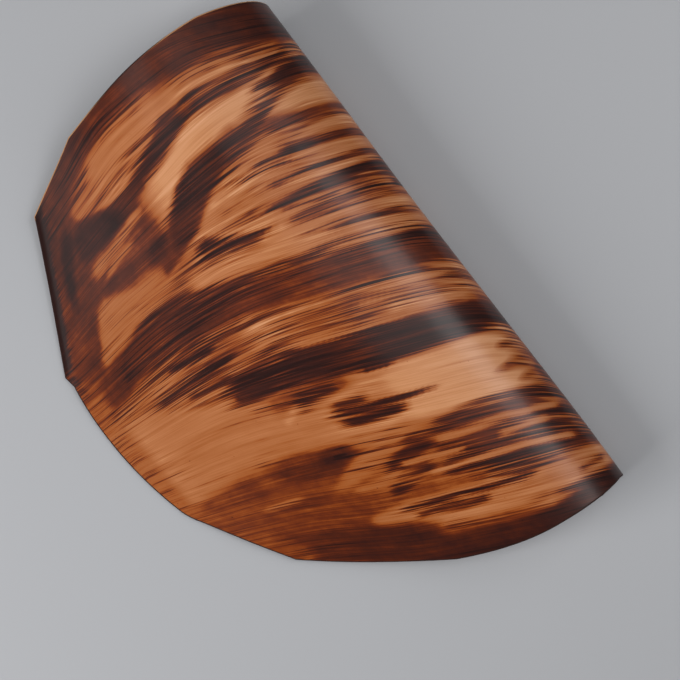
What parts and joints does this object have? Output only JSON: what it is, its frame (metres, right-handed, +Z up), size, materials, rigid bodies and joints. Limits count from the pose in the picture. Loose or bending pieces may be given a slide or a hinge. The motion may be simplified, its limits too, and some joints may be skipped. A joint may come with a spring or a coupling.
{
  "type": "shell cordovan leather, one whole cut piece folded once",
  "caption": "Whole piece of shell cordovan leather in a marbled brown dye over natural tan, folded once in a soft open bend and lying flat, grain side out.",
  "frame": {"origin": "middle of the folded leather's length and depth, on the surface that it lies on", "axes": "+X across the fold towards the bend, +Y along the fold towards the wider and taller end, +Z up"},
  "size_m": [0.2794, 0.4396, 0.0706],
  "materials": {
    "dyed_cordovan": "hand dyed, marbled and glazed grain side, rough waxed flesh side"
  },
  "bodies": {
    "root": {"cordovan_leather": "dyed_cordovan"}
  },
  "joints": []
}
